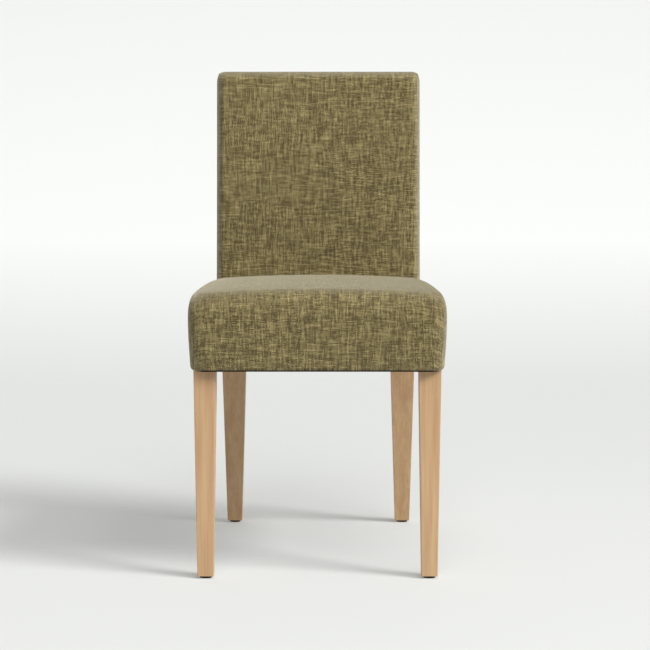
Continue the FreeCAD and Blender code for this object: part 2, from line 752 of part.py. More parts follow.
def ahead_of_rear(depth, bottom):
    """Everything in front of a layer that lies a depth inside the outside back cover."""
    out = REAR_PADDING - depth
    levels = (S.overall_height, P.knee_z, bottom) if bottom < P.knee_z else (S.overall_height, bottom)
    points = [(P.front_y, bottom), (P.front_y, S.overall_height)]
    prism = side_profile(points + [(post_rear(level) + out, level) for level in levels])
    if bottom >= P.knee_z:
        return prism
    knee = []
    for edge in prism.Edges:
        if across_at(P.knee_z)(edge.valueAt(edge.FirstParameter), edge.valueAt(edge.LastParameter)):
            knee.append(edge)
    return prism.makeFillet(S.knee_radius - out, knee)


def behind_back(gap):
    """Everything behind a plane that lies a gap in front of the back cover."""
    far = P.rear_y + S.overall_depth
    high = S.overall_height
    return side_profile([(back_front(0, -gap), 0), (back_front(high, -gap), high), (far, high), (far, 0)])


# The form of the seat: level rings joined by flat bands, with rounded front corners,
# leaning sides, soft shoulders and a crowned top

CORNER_FACETS = 8
REAR_CORNER_FACETS = 3
WALL_STEPS = (0, 0.35, 0.7)
SHOULDER_STEPS = (0, 18, 36, 54, 72, 90)
CROWN_STEPS = (0.3, 0.6, 0.85)
HEM_STEPS = (0, 30, 60)
LEAN_POWER = 1.5

SEAT_REAR_Y = back_front(S.seat_height)
SEAT_FLARE = (S.seat_width - S.seat_rear_width) / 2 / (SEAT_REAR_Y - P.front_y - S.seat_corner_radius)


def seat_half(y):
    """Half width of the seat cover at one depth."""
    return S.seat_width / 2 - SEAT_FLARE * (y - P.front_y - S.seat_corner_radius)


def seat_corner(y, side, radius, start, sweep, facets):
    """Rounded corner of the seat outline on its right, about a centre at one depth."""
    x = seat_half(y) - side - radius / math.cos(math.atan(SEAT_FLARE))
    angles = [start + sweep * k / facets for k in range(facets + 1)]
    return [(x + radius * math.cos(angle), y + radius * math.sin(angle)) for angle in angles]


def seat_ring(side, front, rear, radius, z, scale=1.0):
    """Level outline of the seat, inset from its cover, shrunk towards the crown."""
    quarter = math.pi / 2
    flare = math.atan(SEAT_FLARE)
    near = P.front_y + front + radius
    far = SEAT_REAR_Y + S.seat_wrap - rear - S.seat_rear_radius
    right = seat_corner(near, side, radius, -quarter, quarter + flare, CORNER_FACETS)
    right += seat_corner(far, side, S.seat_rear_radius, flare, quarter - flare, REAR_CORNER_FACETS)
    left = [(-x, y) for x, y in reversed(right)]
    centre = P.front_y + S.seat_crown_centre
    return [Vector(x * scale, centre + (y - centre) * scale, z) for x, y in left + right]


def seat_form(inset, floor):
    """Closed form of the seat, inset from the cover, standing on a level floor."""
    hem = max(S.seat_hem_radius - inset, 0)
    crown_base = S.seat_height - S.seat_crown - inset
    rise = S.seat_shoulder_height - inset
    shoulder_base = crown_base - rise
    corner = S.seat_corner_radius - inset
    widening = S.seat_shoulder_radius - S.seat_corner_radius
    rings = []

    def wall_ring(level, tuck=0.0):
        lean = ((shoulder_base - level) / (shoulder_base - S.seat_underside)) ** LEAN_POWER
        side = inset + tuck + lean * S.seat_side_draft
        front = inset + tuck + lean * S.seat_front_draft
        rings.append(seat_ring(side, front, inset + tuck, corner - tuck, level))

    if hem:
        for angle in HEM_STEPS:
            turn = math.radians(angle)
            wall_ring(floor + hem * (1 - math.cos(turn)), hem * (1 - math.sin(turn)))
    for share in WALL_STEPS:
        wall_ring(floor + hem + share * (shoulder_base - floor - hem))
    for angle in SHOULDER_STEPS:
        turn = math.radians(angle)
        inwards = 1 - math.cos(turn)
        side = inset + inwards * (S.seat_shoulder_side - inset)
        front = inset + inwards * (S.seat_shoulder_front - inset)
        level = shoulder_base + rise * math.sin(turn)
        rings.append(seat_ring(side, front, inset, corner + inwards * widening, level))
    for share in CROWN_STEPS:
        level = crown_base + S.seat_crown * (1 - (1 - share) ** 2)
        insets = (S.seat_shoulder_side, S.seat_shoulder_front, inset)
        rings.append(seat_ring(*insets, corner + widening, level, 1 - share))
    return banded(rings)


def leg_clearance(gap, high=P.rail_bottom_z):
    """Boxes around the tops of the legs and posts, for the layers that pass them."""
    shapes = []
    low = 0
    for sign in (-1, 1):
        legs = sorted((sign * (P.leg_inner_x - gap), sign * (P.leg_outer_x + gap)))
        posts = sorted((sign * (P.post_inner_x - gap), sign * (P.post_outer_x + gap)))
        shapes.append(block(legs[0], P.leg_front_y - gap, low, legs[1], P.leg_back_y + gap, high))
        shapes.append(block(posts[0], P.post_front_y - gap, low, posts[1], P.rear_y, high))
    return shapes


WADDING_OUTER = S.cover_thickness + S.soft_gap
WADDING_INNER = WADDING_OUTER + S.wadding_thickness
FOAM_OUTER = WADDING_INNER + S.soft_gap

seat_outer = seat_form(0, S.seat_underside)
seat_void = seat_form(S.cover_thickness, S.seat_underside + S.cover_thickness)
turn_under = S.cover_turn_under
opening = banded(
    [
        seat_ring(turn_under, turn_under, 0, S.seat_corner_radius, level)
        for level in (S.seat_underside - S.rail_thickness, P.rail_bottom_z)
    ]
)
seat_cover = shaped(
    "seat_cover",
    seat_outer.cut(seat_void)
    .cut(opening)
    .cut(back_form(-S.soft_gap, 0))
    .cut(Part.makeCompound(leg_clearance(S.soft_gap))),
)
seat_wadding = shaped(
    "seat_wadding",
    seat_form(WADDING_OUTER, P.rail_bottom_z)
    .cut(seat_form(WADDING_INNER, P.rail_bottom_z - S.rail_thickness))
    .cut(behind_back(S.soft_gap))
    .cut(Part.makeCompound(leg_clearance(S.soft_gap, P.rail_top_z + S.soft_gap))),
)
seat_foam = shaped("seat_foam", seat_form(FOAM_OUTER, P.foam_bottom_z).cut(behind_back(S.soft_gap)))


# Layers of the back, from the posts outwards

BACK_LOWER_EDGE = P.rail_top_z + S.post_flat_above / 2

panel = new_body("inside_back_panel")


def front_line(height, out):
    return f"Places.post_front_y + ({height} - Places.bend_z) * Places.lean - {out}"


panel_top = "(Places.post_top_z - Sizes.panel_thickness)"
panel_side = (
    (front_line("Places.lower_rail_z", "0"), "Places.lower_rail_z"),
    (front_line(panel_top, "0"), panel_top),
    (front_line(panel_top, "Sizes.panel_thickness"), panel_top),
    (front_line("Places.lower_rail_z", "Sizes.panel_thickness"), "Places.lower_rail_z"),
)
pad(
    panel,
    outline(panel, "YZ_Plane", [panel_side]),
    "2 * (Places.post_outer_x - Sizes.panel_thickness)",
    symmetric=True,
)

foam_back_depth = P.back_padding - S.panel_thickness - 2 * S.soft_gap
back_foam = shaped("back_foam", back_form(FOAM_OUTER, P.lower_rail_z).cut(behind_back(-foam_back_depth)))
back_wadding = shaped(
    "back_wadding",
    back_form(WADDING_OUTER, BACK_LOWER_EDGE)
    .common(ahead_of_rear(REAR_PADDING, BACK_LOWER_EDGE))
    .cut(back_form(WADDING_INNER, 0)),
)
cover_inner = S.back_width / 2 - S.cover_thickness
below_seat_line = block(-cover_inner, P.front_y, 0, cover_inner, P.rear_y, BACK_LOWER_EDGE)
back_cover = shaped(
    "back_cover",
    back_form(0, S.seat_underside)
    .common(ahead_of_rear(0, S.seat_underside))
    .cut(back_form(S.cover_thickness, 0))
    .cut(below_seat_line),
)
board_x = P.post_outer_x - S.board_thickness
board_top = P.post_top_z - S.board_thickness
board_bottom = P.knee_z + S.knee_rise
outside_back_board = shaped(
    "outside_back_board",
    block(-board_x, P.front_y, board_bottom, board_x, P.rear_y + S.overall_depth, board_top)
    .common(ahead_of_rear(REAR_PADDING - S.board_thickness, board_bottom))
    .cut(ahead_of_rear(REAR_PADDING, P.knee_z)),
)
outside_back_cover = shaped(
    "outside_back_cover",
    back_form(S.cover_thickness + S.soft_gap, S.seat_underside)
    .common(ahead_of_rear(0, S.seat_underside))
    .cut(ahead_of_rear(S.cover_thickness, S.seat_underside / 2)),
)


# Dust cover under the seat, notched around the legs and posts

cloth_top = S.seat_underside - S.soft_gap
edge = S.dust_cover_inset
cloth_rear = P.rear_rail_back_y
cloth = [
    Vector(x, y, cloth_top - S.dust_cover_thickness)
    for x, y in (
        (-P.leg_outer_x + edge / 2, P.front_y + edge),
        (P.leg_outer_x - edge / 2, P.front_y + edge),
        (P.post_outer_x - edge / 2, cloth_rear),
        (-P.post_outer_x + edge / 2, cloth_rear),
    )
]
dust_sheet = Part.Face(Part.makePolygon(cloth + cloth[:1])).extrude(Vector(0, 0, S.dust_cover_thickness))
dust_cover = shaped("dust_cover", dust_sheet.cut(Part.makeCompound(leg_clearance(1))))


# Check every feature and piece, then write one file for each piece

pieces = [
    *frame,
    seat_frame_tenons,
    back_frame_tenons,
    corner_block_screws,
    *glides,
    glide_nails,
    *webbing,
    felt,
    seat_foam,
    seat_wadding,
    seat_cover,
    panel,
    back_foam,
    back_wadding,
    back_cover,
    outside_back_board,
    outside_back_cover,
    dust_cover,
]
doc.recompute()
for item in doc.Objects:
    if "Invalid" in item.State or "Error" in item.State:
        raise RuntimeError(f"{item.Label} failed: {item.State}")
for piece in pieces:
    shape = piece.Shape
    if shape.isNull() or not shape.isValid() or not shape.Solids:
        raise RuntimeError(f"{piece.Label} has no valid solid")
    shape.exportStep(f"parts/{piece.Label}.step")
    print(f"{piece.Label}: {len(shape.Solids)} solids, {shape.Volume / 1000:.1f} cm3")
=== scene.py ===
import json
import math

import bpy
import numpy
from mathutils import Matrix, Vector


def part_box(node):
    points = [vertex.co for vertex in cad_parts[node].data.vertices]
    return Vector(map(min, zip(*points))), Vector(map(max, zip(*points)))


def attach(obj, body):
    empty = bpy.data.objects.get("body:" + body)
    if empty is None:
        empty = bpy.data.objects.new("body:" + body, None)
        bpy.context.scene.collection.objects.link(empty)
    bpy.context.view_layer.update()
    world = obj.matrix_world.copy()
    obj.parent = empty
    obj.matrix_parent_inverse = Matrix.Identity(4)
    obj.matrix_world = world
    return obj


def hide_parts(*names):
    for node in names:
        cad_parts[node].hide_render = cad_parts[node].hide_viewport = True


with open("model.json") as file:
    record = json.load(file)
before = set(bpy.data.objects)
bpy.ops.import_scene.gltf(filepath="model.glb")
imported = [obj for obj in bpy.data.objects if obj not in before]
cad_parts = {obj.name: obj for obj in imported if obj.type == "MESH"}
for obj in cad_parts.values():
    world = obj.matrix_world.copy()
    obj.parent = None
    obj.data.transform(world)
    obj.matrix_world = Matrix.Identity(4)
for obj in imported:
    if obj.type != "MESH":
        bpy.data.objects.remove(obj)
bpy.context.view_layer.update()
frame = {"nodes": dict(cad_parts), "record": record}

bl_info = {
    "name": "Parsons chair",
    "version": (1, 0, 0),
    "blender": (4, 5, 0),
    "location": "View3D > Sidebar > Chair",
    "description": "Dresses a parsons chair with fabric, oak and moulded glides",
    "category": "Add Mesh",
}

MM = 0.001
FABRIC = "linen_look_fabric"
SEAT_LOW, SEAT_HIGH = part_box("seat_cover")
BACK_LOW, BACK_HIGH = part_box("back_cover")


def from_hex(code):
    """Linear colour of an sRGB hex value."""
    parts = [int(code[k : k + 2], 16) / 255 for k in (0, 2, 4)]
    return tuple(c / 12.92 if c <= 0.04045 else ((c + 0.055) / 1.055) ** 2.4 for c in parts)


def length(name, description, default):
    """Size property in metres."""
    return bpy.props.FloatProperty(name=name, description=description, default=default, unit="LENGTH")


def colour(name, description, code):
    """Colour property from a hex value."""
    return bpy.props.FloatVectorProperty(
        name=name, description=description, default=from_hex(code), subtype="COLOR", size=3, min=0, max=1
    )


class ChairSizes(bpy.types.PropertyGroup):
    """Sizes of the padding that a user would change."""

    seat_top: length("Seat top", "Floor to the crown of the seat", 524 * MM)
    seat_rear_width: length("Seat rear width", "Seat where it meets the back", 410 * MM)
    crown_centre: length("Crown centre", "Seat front to the highest point of the seat", 190 * MM)
    crown_across: length("Crown across", "Fall of the seat top 200 mm to either side", 7 * MM)
    crown_along: length("Crown along", "Fall of the seat top 200 mm to the front and rear", 5 * MM)
    seat_side_ease: length("Side ease", "Cloth inside the widest line of the solid", 0.9 * MM)
    shoulder_side: length("Side shoulder", "Depth of the rounded shoulder at the sides", 13 * MM)
    shoulder_front: length("Front shoulder", "Depth of the rounded shoulder at the front", 38 * MM)
    shoulder_height: length("Shoulder height", "Height of the rounded shoulder", 46 * MM)
    seat_corner: length("Seat corner", "Front corners of the seat in plan", 22 * MM)
    shoulder_corner: length("Shoulder corner", "The same corners at the top of the shoulder", 44 * MM)
    side_draft: length("Side draft", "How far the sides lean in at the hem", 5.6 * MM)
    front_draft: length("Front draft", "How far the front leans in at the hem", 1.5 * MM)
    hem: length("Hem", "Rounding of the lower edge of the seat", 5 * MM)
    back_fill: length("Back fill", "How far the padding pushes the sides of the back out", 3 * MM)
    back_edge: length("Back edge", "Depth of the eased front edges of the back", 26 * MM)
    back_tuck: length("Back tuck", "Width of the eased front edges of the back", 14 * MM)
    back_corner: length("Back corner", "Top corners of the back seen from the front", 12 * MM)
    swell: length("Swell", "How far the pressure of the padding may move the cloth", 1 * MM)
    panel_border: length("Panel border", "Rear edge of the back to the seam of its outside panel", 2 * MM)
    hem_fold: length("Hem fold", "Turned-in edge of the cloth under the seat", 12 * MM)
    staple_gap: length("Staple spacing", "Spacing of the staples under the seat", 42 * MM)
    thread: length("Thread", "Spacing of the threads of the fabric", 2.0 * MM)


class ChairColours(bpy.types.PropertyGroup):
    """Colours of the finishes that a user would change."""

    yarn_light: colour("Light yarn", "Light threads of the fabric", "B2A370")
    yarn_dark: colour("Dark yarn", "Dark threads of the fabric", "4B3F20")
    oak_light: colour("Light oak", "Early wood of the legs", "CDAA80")
    oak_dark: colour("Dark oak", "Late wood of the legs", "B68F66")
    floor: colour("Floor", "Studio floor and backdrop", "C3C4C2")


def sizes():
    """Sizes of the padding in this scene."""
    return bpy.context.scene.chair_sizes


def colours():
    """Colours of the finishes in this scene."""
    return bpy.context.scene.chair_colours


# Shader helpers

def add_node(tree, kind, values=None, **settings):
    """New shader node: settings are its properties, values fill or link its sockets."""
    made = tree.nodes.new("ShaderNode" + kind)
    for key, value in settings.items():
        setattr(made, key, value)
    for key, value in (values or {}).items():
        if isinstance(value, bpy.types.NodeSocket):
            tree.links.new(value, made.inputs[key])
        else:
            made.inputs[key].default_value = value
    return made


def new_material(name):
    """Empty node material, and its tree."""
    material = bpy.data.materials.new(name)
    material.use_nodes = True
    material.node_tree.nodes.clear()
    return material, material.node_tree


def rgba(rgb):
    """Colour with full alpha for a socket."""
    return (*rgb, 1.0)


# Materials

# Real threads lie under 1 mm apart and are too fine for the render, so they are drawn 2 mm apart.
# A light or dark stretch of a yarn runs over about 14 threads of the warp or 11 of the weft.
WARP_STRETCH, WEFT_STRETCH = 0.07, 0.09
# Threads side by side lie this far apart in the noise, so that their tones differ
NEXT_THREAD = 7.31
PATCH = 18.2 * MM

# Real oak grain is finer than a millimetre and wouldn't show, so it is drawn about 4 mm wide.
GRAIN_WIDTH, GRAIN_RUN = 3.846 * MM, 142.9 * MM
BAND_WIDTH, BAND_RUN = 16.67 * MM, 333.3 * MM
PAINT_GRIT = 2.5 * MM


def woven_fabric(name):
    """Polyester-viscose plain weave with a linen look: slubby light and dark yarns, quite matt."""
    material, tree = new_material(name)
    cloth = add_node(tree, "UVMap", uv_map="cloth")
    threads = (1 / sizes().thread, 1 / sizes().thread, 0)
    scaled = add_node(tree, "VectorMath", {0: cloth.outputs[0], 1: threads}, operation="MULTIPLY")
    count = add_node(tree, "SeparateXYZ", {0: scaled.outputs[0]})
    across, along = count.outputs[0], count.outputs[1]
    warp = add_node(tree, "Math", {0: across}, operation="FLOOR").outputs[0]
    weft = add_node(tree, "Math", {0: along}, operation="FLOOR").outputs[0]

    def yarn_tone(number, run, offset, stretch):
        """Light and dark stretches that change slowly along each thread."""
        values = {0: number, 1: NEXT_THREAD, 2: offset}
        apart = add_node(tree, "Math", values, operation="MULTIPLY_ADD").outputs[0]
        slow = add_node(tree, "Math", {0: run, 1: stretch}, operation="MULTIPLY").outputs[0]
        place = add_node(tree, "CombineXYZ", {0: apart, 1: slow, 2: offset}).outputs[0]
        noise = add_node(tree, "TexNoise", {"Vector": place, "Scale": 1.0, "Detail": 2.0, "Roughness": 0.5})
        values = {"Value": noise.outputs[0], "From Min": 0.4, "From Max": 0.76}
        return add_node(tree, "MapRange", values).outputs[0]

    warp_tone = yarn_tone(warp, along, 3.7, WARP_STRETCH)
    weft_tone = yarn_tone(weft, across, 41.3, WEFT_STRETCH)
    total = add_node(tree, "Math", {0: warp, 1: weft}, operation="ADD").outputs[0]
    over = add_node(tree, "Math", {0: total, 1: 2.0}, operation="FLOORED_MODULO").outputs[0]
    mixing = add_node(tree, "MapRange", {"Value": over, "To Min": 0.2, "To Max": 0.8}).outputs[0]
    tone = add_node(tree, "Mix", {0: mixing, 2: weft_tone, 3: warp_tone}).outputs[0]

    def bulge(value):
        """Rounded cross-section of a thread from its place across the thread."""
        share = add_node(tree, "Math", {0: value}, operation="FRACT").outputs[0]
        centred = add_node(tree, "Math", {0: share, 1: 0.5}, operation="SUBTRACT").outputs[0]
        square = add_node(tree, "Math", {0: centred, 1: centred}, operation="MULTIPLY").outputs[0]
        return add_node(tree, "Math", {0: square, 1: -4.0, 2: 1.0}, operation="MULTIPLY_ADD").outputs[0]

    # Height of the threads, for the bump and for the painted shade in their gaps
    height = add_node(tree, "Math", {0: bulge(across), 1: bulge(along)}, operation="MULTIPLY").outputs[0]
    crossing = add_node(tree, "CombineXYZ", {0: warp, 1: weft}).outputs[0]
    fleck = add_node(tree, "TexWhiteNoise", {"Vector": crossing}, noise_dimensions="2D").outputs[0]
    values = {"Vector": cloth.outputs[0], "Scale": 1 / PATCH, "Detail": 4.0, "Roughness": 0.6}
    patch = add_node(tree, "TexNoise", values).outputs[0]

    # Painted shade in the gaps between threads and painted light on their crowns, fleck of each crossing,
    # upper and lower thread, and broad patches
    for value, low, high, darkest, lightest in (
        (height, 0.0, 1.0, -0.16, 0.1),
        (fleck, 0.0, 1.0, -0.16, 0.16),
        (over, 0.0, 1.0, -0.07, 0.07),
        (patch, 0.3, 0.7, -0.025, 0.025),
    ):
        values = {"Value": value, "From Min": low, "From Max": high, "To Min": darkest, "To Max": lightest}
        part = add_node(tree, "MapRange", values).outputs[0]
        tone = add_node(tree, "Math", {0: tone, 1: part}, operation="ADD").outputs[0]
    values = {0: tone, 6: rgba(colours().yarn_dark), 7: rgba(colours().yarn_light)}
    base = add_node(tree, "Mix", values, data_type="RGBA")
    bump = add_node(tree, "Bump", {"Height": height, "Strength": 0.6, "Distance": 0.6 * MM})
    values = {
        "Base Color": base.outputs[2],
        "Roughness": 0.92,
        "Sheen Weight": 0.65,
        "Sheen Roughness": 0.5,
        "Sheen Tint": rgba(from_hex("FFF9E2")),
        "Specular IOR Level": 0.2,
        "Normal": bump.outputs[0],
    }
    shader = add_node(tree, "BsdfPrincipled", values)
    add_node(tree, "OutputMaterial", {"Surface": shader.outputs[0]})
    return material


def varnished_oak(name):
    """Oak sawn along the leg and varnished satin: straight fine grain of low contrast."""
    material, tree = new_material(name)
    place = add_node(tree, "TexCoord").outputs["Object"]
    fine = (1 / GRAIN_WIDTH, 1 / GRAIN_WIDTH, 1 / GRAIN_RUN)
    grain = add_node(tree, "Mapping", {0: place, "Scale": fine}).outputs[0]
    values = {"Vector": grain, "Scale": 1.0, "Detail": 4.0, "Roughness": 0.6}
    lines = add_node(tree, "TexNoise", values).outputs[0]
    wide = (1 / BAND_WIDTH, 1 / BAND_WIDTH, 1 / BAND_RUN)
    broad = add_node(tree, "Mapping", {0: place, "Scale": wide}).outputs[0]
    bands = add_node(tree, "TexNoise", {"Vector": broad, "Scale": 1.0, "Detail": 2.0}).outputs[0]
    mixed = add_node(tree, "Mix", {0: 0.5, 2: lines, 3: bands}).outputs[0]
    tone = add_node(tree, "MapRange", {"Value": mixed, "From Min": 0.35, "From Max": 0.65}).outputs[0]
    values = {0: tone, 6: rgba(colours().oak_dark), 7: rgba(colours().oak_light)}
    base = add_node(tree, "Mix", values, data_type="RGBA")
    bump = add_node(tree, "Bump", {"Height": lines, "Strength": 0.15, "Distance": 0.2 * MM})
    values = {
        "Base Color": base.outputs[2],
        "Roughness": 0.45,
        "Coat Weight": 0.15,
        "Normal": bump.outputs[0],
    }
    shader = add_node(tree, "BsdfPrincipled", values)
    add_node(tree, "OutputMaterial", {"Surface": shader.outputs[0]})
    return material


def plain_finish(name, code, roughness, grit, contrast, metallic=0.0):
    """Finish with a speckle as fine as its grit, for the glides and all that the padding hides."""
    material, tree = new_material(name)
    place = add_node(tree, "TexCoord").outputs["Object"]
    speckle = add_node(tree, "TexNoise", {"Vector": place, "Scale": 1 / grit, "Detail": 3.0}).outputs[0]
    values = {"Value": speckle, "From Min": 0.3, "From Max": 0.7, "To Min": 1 - contrast, "To Max": 1.0}
    tone = add_node(tree, "MapRange", values).outputs[0]
    values = {0: 1.0, 6: rgba(from_hex(code)), 7: tone}
    base = add_node(tree, "Mix", values, data_type="RGBA", blend_type="MULTIPLY")
    bump = add_node(tree, "Bump", {"Height": speckle, "Strength": 0.2, "Distance": grit / 4})
    values = {
        "Base Color": base.outputs[2],
        "Roughness": roughness,
        "Metallic": metallic,
        "Normal": bump.outputs[0],
    }
    shader = add_node(tree, "BsdfPrincipled", values)
    add_node(tree, "OutputMaterial", {"Surface": shader.outputs[0]})
    return material


def studio_surface():
    """Matt painted floor and backdrop, pale and even, that also glow: a painted light that lifts the
    floor's shadows, grows a little brighter up the wall and lights the chair as well.
    """
    material, tree = new_material("glowing_studio_paint")
    place = add_node(tree, "TexCoord").outputs["Object"]
    speckle = add_node(tree, "TexNoise", {"Vector": place, "Scale": 1 / PAINT_GRIT}).outputs[0]
    bump = add_node(tree, "Bump", {"Height": speckle, "Strength": 0.02, "Distance": 0.1 * MM})
    # Painted light: the glow starts on the floor and grows over the first 0.4 m of the wall
    level = add_node(tree, "SeparateXYZ", {0: place}).outputs[2]
    values = {"Value": level, "From Min": 0.0, "From Max": 0.4, "To Min": 0.36, "To Max": 0.71}
    glow = add_node(tree, "MapRange", values)
    values = {
        "Base Color": rgba(colours().floor),
        "Roughness": 0.9,
        "Specular IOR Level": 0.1,
        "Normal": bump.outputs[0],
        "Emission Color": rgba(colours().floor),
        "Emission Strength": glow.outputs[0],
    }
    shader = add_node(tree, "BsdfPrincipled", values)
    add_node(tree, "OutputMaterial", {"Surface": shader.outputs[0]})
    return material


# Material of each slot in the record: its name and how it is made, then for a plain finish its
# colour, roughness, grit, contrast and metallic. Each comment says what it gives the eye.
FINISHES = {
    FABRIC: ("linen_look_plain_weave", woven_fabric),
    "leg_wood": ("satin_varnished_oak", varnished_oak),
    # Rails and blocks as they leave the saw: tan, dull and a little furry
    "frame_wood": ("sawn_hardwood", plain_finish, "B79A72", 0.8, 2 * MM, 0.3),
    # Planed tenons: smoother and pinker than the rails
    "tenon_wood": ("planed_beech", plain_finish, "C8A37C", 0.7, 1.5 * MM, 0.2),
    # Screws, nails and staples: bluish grey metal with a soft shine
    "zinc_steel": ("zinc_plated_steel", plain_finish, "B9BBBE", 0.35, 0.5 * MM, 0.1, 1.0),
    # Glides from the mould: near black with a satin skin
    "glide_plastic": ("moulded_nylon", plain_finish, "101011", 0.4, 0.4 * MM, 0.2),
    # Woven rubber strips: dark grey, matt and coarse
    "webbing": ("elastic_webbing", plain_finish, "3A3A3C", 0.85, 1 * MM, 0.4),
    # Felt of mixed fibres: grey and mottled
    "felt": ("pressed_felt", plain_finish, "8E8A82", 0.95, 1.2 * MM, 0.5),
    # Foam cut from the block: cream, with open cells
    "foam": ("cut_polyurethane_foam", plain_finish, "E3D9B8", 0.9, 1 * MM, 0.25),
    # Fluffy wadding: white and even
    "wadding": ("polyester_wadding", plain_finish, "EDEDEB", 0.95, 3 * MM, 0.12),
    # Thin plywood: pale tan with a broad figure
    "plywood": ("birch_plywood", plain_finish, "C9A878", 0.75, 3 * MM, 0.2),
    # Pressed card: brown and speckled
    "card": ("dense_card", plain_finish, "A38D70", 0.85, 1 * MM, 0.25),
    # Thin bonded cloth: near black, dull and pitted
    "dust_cloth": ("spunbonded_polypropylene", plain_finish, "1E1E20", 0.9, 0.8 * MM, 0.5),
}


def material_of(slot):
    """Material of a slot in the record, made once."""
    name, make, *values = FINISHES[slot]
    return bpy.data.materials.get(name) or make(name, *values)


# Modelling helpers

def deselect_all():
    """Object mode with nothing selected, because an operator acts on all that is selected."""
    if bpy.context.mode != "OBJECT":
        bpy.ops.object.mode_set(mode="OBJECT")
    bpy.ops.object.select_all(action="DESELECT")


def pick(piece, kind, wanted):
    """Select only the faces or edges that wanted picks, in edit mode."""
    bpy.ops.object.mode_set(mode="EDIT")
    bpy.ops.mesh.select_mode(type=kind)
    bpy.ops.mesh.select_all(action="DESELECT")
    bpy.ops.object.mode_set(mode="OBJECT")
    for item in piece.data.polygons if kind == "FACE" else piece.data.edges:
        item.select = wanted(item)
    bpy.ops.object.mode_set(mode="EDIT")


def seated(name, slot, *nodes):
    """Finish the active object as a named piece of the root body that stands for CAD nodes."""
    piece = bpy.context.active_object
    piece.name = name
    piece.data.name = name
    bpy.ops.object.transform_apply(location=True, rotation=True, scale=True)
    piece.data.materials.clear()
    piece.data.materials.append(material_of(slot))
    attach(piece, "root")
    if nodes:
        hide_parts(*nodes)


CUBE_CUTS = 44
# A point of the cube whose coordinate is past this lies on that face
ON_FACE = 0.999999


def divided_cube():
    """Cube from -1 to 1, divided evenly, as the active object."""
    deselect_all()
    bpy.ops.mesh.primitive_cube_add(size=2, location=(0, 0, 0))
    bpy.ops.object.mode_set(mode="EDIT")
    bpy.ops.mesh.select_all(action="SELECT")
    bpy.ops.mesh.subdivide(number_cuts=CUBE_CUTS)
    bpy.ops.object.mode_set(mode="OBJECT")
    return bpy.context.active_object


def vertex_array(mesh):
    """Places of a mesh's points, one row each."""
    flat = numpy.empty(len(mesh.vertices) * 3)
    mesh.vertices.foreach_get("co", flat)
    return flat.reshape(-1, 3)


def set_vertices(mesh, places):
    """Move a mesh's points to these places."""
    mesh.vertices.foreach_set("co", places.ravel())
    mesh.update()


def outline_point(share, half_a, half_b, radius):
    """Point at a share of one side of a rounded outline, from corner middle to corner middle.

    The side runs along its own first axis at a distance half_b, and is 2 * half_a long.
    """
    arc = radius * math.pi / 4
    straight = half_a - radius
    run = share * (straight + arc)
    if abs(run) <= straight:
        return run, half_b
    turn = (abs(run) - straight) / radius if radius > 0 else 0
    return math.copysign(straight + radius * math.sin(turn), run), half_b - radius * (1 - math.cos(turn))


def rounded_square(a, b, half_x, low_y, high_y, radius, rear_radius):
    """Map a point on the edge of the square from -1 to 1 to a rounded rectangle."""
    middle, half_y = (low_y + high_y) / 2, (high_y - low_y) / 2
    corner = radius if b < 0 else rear_radius
    if abs(b) >= abs(a):
        x, y = outline_point(a, half_x, half_y, corner)
        return x, middle + math.copysign(y, b)
    y, x = outline_point(b, half_y, half_x, corner)
    return math.copysign(x, a), middle + y


# Seat

# Shares of the cube's height that become the hem, and the hem and wall together
HEM_SHARE, WALL_SHARE = 0.06, 0.5
# Below 1, a shoulder is fuller than a quarter circle; above 1, a wall leans in mostly near its hem
SHOULDER_POWER, DRAFT_POWER = 0.76, 1.5
# The rim of the seat top below its crown, and the distance that the crown's falls are given for
RIM_DROP, CROWN_REACH = 8 * MM, 200 * MM
# Below the crown by this much, the cloth is laid down the walls
FOLD_DROP = 20 * MM
# The hem and the rear edge stay where they are while the padding swells
HELD_HEM, HELD_REAR = 6 * MM, 8 * MM
PRESSURE, LAST_FRAME = 4, 20


def seat_section(step):
    """Insets, corner radius and level of the seat's outline from its hem, 0, to its top, 1."""
    s = sizes()
    shoulder_base = s.seat_top - RIM_DROP - s.shoulder_height
    low = SEAT_LOW.z

    def lean(level):
        """Share of the draft at one level, all of it at the hem."""
        return max(0.0, (shoulder_base - level) / (shoulder_base - low)) ** DRAFT_POWER

    if step < HEM_SHARE:
        turn = math.pi / 2 * step / HEM_SHARE
        level = low + s.hem * (1 - math.cos(turn))
        tuck = s.hem * (1 - math.sin(turn))
        side, front = tuck + lean(level) * s.side_draft, tuck + lean(level) * s.front_draft
        return side, front, s.seat_corner - tuck, level
    if step < WALL_SHARE:
        share = (step - HEM_SHARE) / (WALL_SHARE - HEM_SHARE)
        level = low + s.hem + share * (shoulder_base - low - s.hem)
        return lean(level) * s.side_draft, lean(level) * s.front_draft, s.seat_corner, level
    turn = math.pi / 2 * (step - WALL_SHARE) / (1 - WALL_SHARE)
    rise = math.sin(turn) ** SHOULDER_POWER
    inwards = 1 - math.cos(turn) ** SHOULDER_POWER
    front_inwards = 1 - math.sqrt(1 - rise * rise)
    radius = s.seat_corner + inwards * (s.shoulder_corner - s.seat_corner)
    level = shoulder_base + s.shoulder_height * rise
    return inwards * s.shoulder_side, front_inwards * s.shoulder_front, radius, level


def crown_fall(x, y):
    """How far the seat top lies below its crown."""
    s = sizes()
    centre = SEAT_LOW.y + s.crown_centre
    return s.crown_across * (x / CROWN_REACH) ** 2 + s.crown_along * ((y - centre) / CROWN_REACH) ** 2


